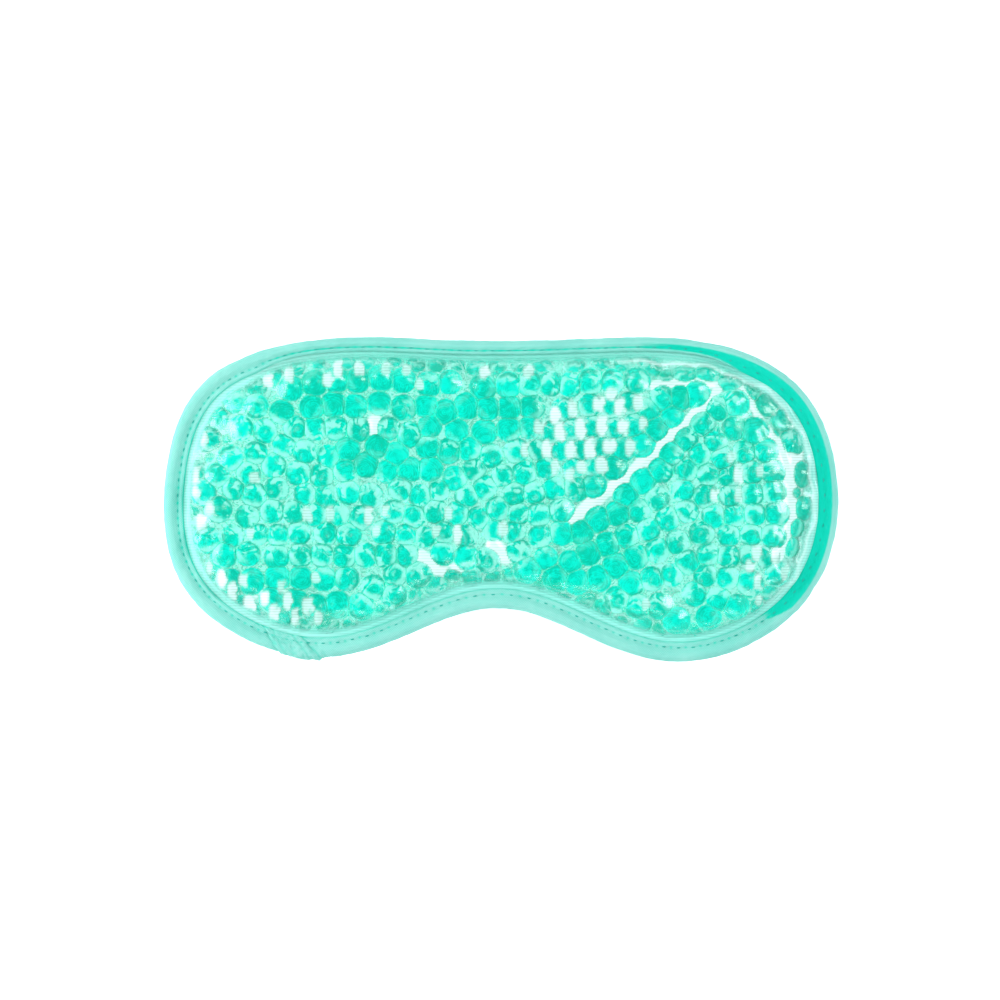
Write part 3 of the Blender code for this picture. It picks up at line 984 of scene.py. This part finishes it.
def film_values(grid, relief, filled, contact, pressed, lifted_painted_highlight):
    """What the film's material reads at each point: haze with painted light along the valleys, milk with
    painted highlights, and ribs.
    """
    flat = 1 - filled
    straight = along_top(grid.nearest)
    patchy = smoothstep(0.3, 0.8, smooth_noise(grid.xx, grid.yy, 3.2, 41))
    loose = 1 - smoothstep(0.12, 0.55, pressed)
    # Painted light along the valleys between beads, where the beads shade each other.
    seam = smoothstep(0.05, 0.22, around(relief) - relief) * filled
    haze = filled * np.maximum((1 - contact) * GAP_HAZE, loose * patchy * PATCH_HAZE)
    haze = np.maximum(haze, seam * SEAM_PAINTED_LIGHT)
    haze = haze + flat * (FLANGE_HAZE + (FLANGE_HAZE_TOP - FLANGE_HAZE) * straight)
    left_end = 1 - smoothstep(-75.0, -35.0, grid.xx)
    # Milk: a painted highlight on the lifted creases, air pockets and rim fold, and whiter fog on the
    # left margin and in the gaps.
    milk_and_painted_highlight = flat * left_end * FLANGE_MILK + lifted_painted_highlight * CREASE_PAINTED_HIGHLIGHT
    milk_and_painted_highlight += rim_fold(grid) / RIM_FOLD * RIM_FOLD_PAINTED_HIGHLIGHT + filled * (1 - contact) * GAP_MILK
    contrast = FLANGE_RIB_CONTRAST + (FLANGE_RIB_CONTRAST_TOP - FLANGE_RIB_CONTRAST) * straight
    return {
        "inset": grid.depth,
        "flange": flat,
        "ribbed": flat * contrast,
        "level_ribs": flat * (1 - straight) * LEVEL_RIB_CONTRAST,
        "haze": haze.clip(0, HAZE_MOST) * (1 - lifted_painted_highlight),
        "milk_and_painted_highlight": milk_and_painted_highlight.clip(0, MILK_MOST),
        "loose": loose,
    }


def film_surface(grid, places, radii):
    """Height of the front film, and its vertex values."""
    past_wall = grid.depth - wall_at(grid.nearest)
    held = past_wall < -HELD_STRIP
    inner = smoothstep(-HELD_STRIP, 3.5, past_wall)
    filled = smoothstep(-0.8, 1.0, past_wall)
    relief = bead_relief(grid, places, radii)
    tight, smooth = drape(relief, held)
    bumpy = in_areas(grid.xx, grid.yy, [(*area, 0.0, 1.0) for area in BUMPY])
    z = smooth + (tight - smooth) * (0.25 + 0.75 * bumpy)
    pressed = in_areas(grid.xx, grid.yy, PRESSED)
    airy = in_areas(grid.xx, grid.yy, AIRY)
    press = PRESS_LEAST + (PRESS_MOST - PRESS_LEAST) * pressed - 0.3 * airy
    z = z - press * inner
    contact = smoothstep(-0.20, 0.10, relief - z)
    pocket = air_pockets(grid, places, radii, relief, airy)
    z = z + AIR_LIFT * pocket * inner
    rise, near = crease_shape(grid.xx, grid.yy)
    z = z + rise * inner + rim_fold(grid)
    for _ in range(2):
        z = np.where(held, z, around(z) * 0.6 + z * 0.4)
    # Lifted creases and air pockets, which carry a painted highlight.
    lifted_painted_highlight = near * smoothstep(-0.15, 0.35, z - relief) * filled
    lifted_painted_highlight = np.maximum(lifted_painted_highlight, pocket * filled)
    return z, film_values(grid, relief, filled, contact, pressed, lifted_painted_highlight)


def make_film(grid, height, values, material):
    """The front film in its two halves, held up by the beads."""
    pieces = sheet_pieces("front_film", grid, height, material, values=values)
    for side, obj in pieces:
        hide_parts(*nodes_named("front_film", side))
        bend_with(obj)


def make_back(grid, back_film_mat, fabric_mat, places):
    """The back film, dented by the lowest beads, and the fabric, which puffs up between them."""
    rise = 1 - smoothstep(*BACK_SLOPE, grid.depth)
    dimple = np.zeros_like(grid.xx)
    for x, y, z in places:
        if z < DIMPLE_BELOW_Z:
            dimple += np.exp(-((grid.xx - x) ** 2 + (grid.yy - y) ** 2) / DIMPLE_AREA)
    dimple = dimple.clip(0, 1)
    film = BACK_FILM_Z + (BACK_FILM_RIM_Z - BACK_FILM_Z) * rise - DIMPLE_DEPTH * dimple * (1 - rise)
    for side, obj in sheet_pieces("back_film", grid, film, back_film_mat):
        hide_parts(*nodes_named("back_film", side))
        bend_with(obj)
    cloth = FABRIC_Z + (FABRIC_RIM_Z - FABRIC_Z) * rise
    puff = FABRIC_PUFF * (1 - rise) * (1 - dimple)
    cloth += puff + FABRIC_UNEVEN * smooth_noise(grid.xx, grid.yy, 9, 5)
    cloth = cloth.clip(FABRIC_LEAST_Z, None)
    pieces = sheet_pieces("backing_fabric", grid, cloth, fabric_mat, flip=True)
    for side, obj in pieces:
        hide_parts(*nodes_named("backing_fabric", side))
        bend_with(obj)


# ---------------------------------------------------------------- binding and stitches
# Section of the folded tape: (inset, height), clockwise from the inner end of its upper leg.
TAPE_SECTION = [
    (5.5, 4.34),
    (5.55, 4.52),
    (5.1, 4.76),
    (4.5, 4.80),
    (3.9, 4.66),
    (3.3, 4.94),
    (2.4, 5.36),
    (1.3, 5.26),
    (0.45, 4.62),
    (0.02, 3.45),
    (0.4, 2.15),
    (1.3, 1.5),
    (2.5, 1.32),
    (3.3, 1.52),
    (3.9, 1.8),
    (4.5, 1.6),
    (5.2, 1.55),
    (5.5, 1.95),
    (5.3, 2.2),
    (3.2, 2.3),
    (1.5, 2.5),
    (1.1, 3.35),
    (1.5, 4.2),
    (3.2, 4.36),
]
SECTION_WIDTH = max(inset for inset, _ in TAPE_SECTION)


def tape_loop():
    """The section as a smooth closed Catmull-Rom curve, with its outward normals."""
    knots = np.array(TAPE_SECTION)
    place = np.arange(len(knots) * TAPE_CURVE_STEPS) / TAPE_CURVE_STEPS
    span = np.floor(place).astype(int)
    t = (place - span)[:, None]
    a, b, c, d = [knots[(span + k) % len(knots)] for k in (-1, 0, 1, 2)]
    square, cube = 2 * a - 5 * b + 4 * c - d, 3 * b - a - 3 * c + d
    loop = 0.5 * (2 * b + (c - a) * t + square * t**2 + cube * t**3)
    along = np.roll(loop, -1, axis=0) - np.roll(loop, 1, axis=0)
    along /= np.linalg.norm(along, axis=1)[:, None]
    return loop, np.stack([along[:, 1], -along[:, 0]], axis=1)


def s_at_centre(sign):
    """Distance along the outline at which it crosses x = 0, at the forehead or the notch."""
    for k in range(FINE_STATIONS):
        here, there = EDGE[k], EDGE[(k + 1) % FINE_STATIONS]
        if here[0] * there[0] <= 0 and here[1] * sign > 0:
            return EDGE_AT[k] + EDGE_STEPS[k] * here[0] / (here[0] - there[0])
    raise ValueError("the outline doesn't cross x = 0")


def lap_shape(s, inset):
    """Where the tape's end lies over its start, the slanting creases, and the corner that juts."""
    middle = s_nearest(*LAP_AT)
    slant = (LAP_PIVOT - inset) * LAP_SLANT
    start, end = middle + LAP_SPAN[0] + slant, middle + LAP_SPAN[1] + slant
    lap = smoothstep(start - LAP_SOFT, start + LAP_SOFT, s)
    lap = lap * (1 - smoothstep(end - LAP_SOFT, end + LAP_SOFT, s))
    creases = [start - 0.5, start + 2.4, start + 4.6, end - 2.6, end + 0.6]
    depths = [0.8, 0.7, 0.4, 0.9, 1.0]
    uneven = 0.35 * smooth_noise(s, inset, 3.0, 25)
    crease = 0
    for at, depth in zip(creases, depths):
        crease = crease + depth * np.exp(-(((s - at + uneven) / LAP_CREASE_HALF) ** 2))
    near = smoothstep(start - 9.0, start - 2.0, s) * (1 - smoothstep(end, end + 6.0, s))
    # Thin crinkle lines, which dent the lap and are painted dark as shade too.
    crinkle = 1 - smoothstep(0.0, 0.22, np.abs(smooth_noise(s, inset * 1.6, 3.4, 26)))
    crease = np.maximum(crease, crinkle * near * 0.75)
    point = smoothstep(start - 6.0, end, s) * (1 - smoothstep(end - 0.2, end + 2.6, s))
    return lap, crease, point


def tape_width(inward):
    """The tape is narrower along the straight forehead edge."""
    straight = smoothstep(0.93, 0.995, -inward[..., 1])
    return TAPE_WIDTH + (TAPE_WIDTH_TOP - TAPE_WIDTH) * straight


def tape_shade(s, inset, share, width):
    """Painted shade on the tape: a band round the right end, in the stitch groove and its holes, beside
    the inner lip, and fine darker ribs.
    """
    start, end = s_nearest(*PAINTED_SHADE_BAND_FROM), s_nearest(*PAINTED_SHADE_BAND_TO)
    turn = np.mod(s - start, EDGE_LENGTH)
    stretch = np.mod(end - start, EDGE_LENGTH)
    # The band of painted shade round the right end.
    ends = smoothstep(0.0, 5.0, turn) * (1 - smoothstep(stretch - 14.0, stretch + 2.0, turn))
    narrow = 1 - smoothstep(stretch - 45.0, stretch - 5.0, turn)
    near_side = 1.9 + 2.2 * (1 - smoothstep(0.0, 12.0, turn))
    far_side = 3.6 + (width - 3.4) * narrow
    band = smoothstep(near_side - 0.2, near_side + 0.3, inset)
    band = band * (1 - smoothstep(far_side - 0.4, far_side + 0.2, inset))
    on_top = (TAPE_WIDTH - width) / (TAPE_WIDTH - TAPE_WIDTH_TOP)
    at_left = 1 - smoothstep(20.0, 60.0, np.abs(s - s_nearest(*LEFT_END)))
    # Painted shade in the stitch groove, in its holes and beside the inner lip.
    groove = np.exp(-(((share - STITCH_AT) / 0.05) ** 2)) * (0.10 + 0.9 * on_top + 0.3 * at_left)
    hole = np.exp(-(((share - STITCH_AT) / 0.06) ** 2)) * (0.5 + 0.5 * stitch_wave(s)) ** 14
    lip = smoothstep(0.90, 0.97, share) * (1 + at_left) * (1 - on_top)
    waver = 2.0 * smooth_noise(s, inset * 2, 14, 23)
    lines = 0.10 * np.sin(2 * math.pi * inset / TAPE_RIB + waver)
    lines += 0.08 * smooth_noise(s, inset * 3, 2.4, 24)
    return (band * ends * PAINTED_SHADE_BAND_DEPTH + groove + hole * 0.7 + lip * 0.4 + lines).clip(0, 1)


def stitch_wave(s):
    """1 where the thread goes through the tape, -1 in the middle of each stitch."""
    return np.cos(s * 2 * math.pi * STITCH_COUNT / EDGE_LENGTH)


def fit_width(inset, widest, width):
    """The section's insets with the part beyond the rolled edge brought to the tape's width."""
    flat = np.clip(inset - TAPE_ROLL, 0, None)
    return np.minimum(inset, TAPE_ROLL) + flat * ((width - TAPE_ROLL) / (widest - TAPE_ROLL))


def tape_swell(s, inset, share):
    """How far the tape stands off its smooth section, with the lap left out."""
    wave = stitch_wave(s)
    in_groove = np.exp(-(((share - STITCH_AT) / 0.12) ** 2))
    on_roll = np.exp(-(((inset - 1.6) / 1.3) ** 2))
    wrapped = np.mod(s, EDGE_LENGTH)
    swell = -0.20 * in_groove * (0.5 + 0.5 * wave) + 0.05 * on_roll * wave
    swell += 0.09 * smooth_noise(wrapped, inset * 3, 11, 21)
    swell += 0.06 * smooth_noise(wrapped, inset * 4, 4, 22)
    swell += 0.02 * np.sin(2 * math.pi * inset / TAPE_RIB)
    return swell


def make_binding(material):
    """The tape's section swept along each half of the outline."""
    loop, out = tape_loop()
    widest = loop[:, 0].max()
    around_section = len(loop)
    top, notch = s_at_centre(1), s_at_centre(-1)
    for side, (start, end) in {-1: (top, notch), 1: (notch, top + EDGE_LENGTH)}.items():
        if end < start:
            end += EDGE_LENGTH
        count = int((end - start) / TAPE_STEP)
        along = np.linspace(start, end, count + 1)
        point, inward = edge_point(along)
        width = tape_width(inward)[:, None]
        s, share = np.meshgrid(along, loop[:, 0] / widest, indexing="ij")
        wrapped = np.mod(s, EDGE_LENGTH)
        inset = fit_width(share * widest, widest, width)
        height = np.broadcast_to(loop[:, 1], inset.shape)
        outer = (height > 4.5) | (height < 2.0) | (inset < TAPE_ROLL)
        lap, crease, corner = lap_shape(wrapped, inset)
        swell = np.where(outer, tape_swell(s, inset, share), 0)
        swell = swell + (LAP_RISE * lap - LAP_CREASE * crease) * outer
        across = inset + out[:, 0] * swell - LAP_CORNER * corner * (1 - smoothstep(0.5, 4.0, inset))
        xy = point[:, None, :] + inward[:, None, :] * across[..., None]
        points = np.dstack([xy, height + out[:, 1] * swell]).reshape(-1, 3)
        row, here = np.meshgrid(np.arange(count), np.arange(around_section), indexing="ij")
        there = (here + 1) % around_section
        row = row * around_section
        beyond = row + around_section
        quad = np.stack([row + here, row + there, beyond + there, beyond + here], axis=-1)
        name = f"binding_{side_name(side)}"
        mesh = new_mesh(name, points, quad.reshape(-1, 4))
        upper = height > TAPE_MIDDLE_Z
        # Painted shade on the upper leg, with painted shade in the lap's creases.
        shade = tape_shade(wrapped, inset, share, width) * upper + crease * upper * 0.5
        add_values(mesh, shade=shade.clip(0, 1))
        obj = new_piece(name, mesh, material)
        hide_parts(*nodes_named("binding", side))
        bend_with(obj)


def make_stitches(material):
    """Short stitches in the groove, on the bead side and on the fabric side."""
    ball, faces = ico(2)
    for kind, z in STITCH_Z.items():
        body = ball * STITCH_HALF
        body[:, 2] -= STITCH_BEND * ball[:, 0] ** 2 * (1 if kind == "needle" else -1)
        for side in (-1, 1):
            clouds, corners = [], []
            for n in range(STITCH_COUNT):
                s = (n + 0.5) * EDGE_LENGTH / STITCH_COUNT
                point, inward = edge_point(np.array(s))
                if (point[0] < 0) != (side < 0):
                    continue
                along = np.array([inward[1], -inward[0]])
                inset = fit_width(STITCH_AT * SECTION_WIDTH, SECTION_WIDTH, tape_width(inward))
                spot = point + inward * (inset + RANDOM.normal(0, STITCH_JITTER))
                xy = spot + body[:, :1] * along + body[:, 1:2] * inward
                clouds.append(np.c_[xy, body[:, 2] + z])
                corners.append(faces + len(corners) * len(ball))
            name = f"{kind}_stitches_{side_name(side)}"
            obj = new_piece(name, new_mesh(name, np.vstack(clouds), np.vstack(corners)), material)
            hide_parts(*nodes_named(f"{kind}_thread", side))
            bend_with(obj)


def main():
    add_camera()
    add_floor()
    add_sky()
    for lamp in LAMPS:
        add_lamp(*lamp)
    # The tape's deep colour is the colour of its painted shade.
    tape = woven_material(
        "binding_tape",
        dark=(0.16, 0.57, 0.50),
        light=(0.29, 0.69, 0.62),
        scale=700.0,
        tilt=0.6,
        bump=0.5,
        sheen=0.05,
        deep=(0.0, 0.58, 0.43),
    )
    fabric = woven_material(
        "backing_fabric",
        dark=(0.20, 0.78, 0.68),
        light=(0.38, 0.90, 0.82),
        scale=420.0,
        tilt=0.2,
        bump=0.4,
        sheen=0.4,
    )
    thread = woven_material(
        "stitch_thread",
        dark=(0.0, 0.34, 0.27),
        light=(0.05, 0.50, 0.42),
        scale=2500.0,
        tilt=0.8,
        bump=0.3,
        sheen=0.1,
    )
    front = film_material("front_film", (0.97, 1.0, 0.99), 0.04, 0.5, marks=True)
    rear = film_material("back_film", (0.94, 1.0, 0.985), 0.05, 0.5, marks=False)
    # The gel's dark crescent colour is painted shade; pale also colours its painted highlight crescents.
    gel = gel_material(
        "gel_beads",
        deep=(0.0, 0.52, 0.39),
        mid=(0.0, 0.82, 0.69),
        rim=(0.34, 0.90, 0.82),
        pale=(0.46, 0.92, 0.86),
        shade=(0.0, 0.42, 0.31),
        lit=(0.25, 0.94, 0.88),
    )
    places, radii = pack_beads()
    grid = Grid(GRID)
    height, values = film_surface(grid, places, radii)
    make_beads(places, radii, grid, height, values["loose"], gel)
    make_film(grid, height, values, front)
    make_back(Grid(BACK_GRID), rear, fabric, places)
    make_binding(tape)
    make_stitches(thread)


main()
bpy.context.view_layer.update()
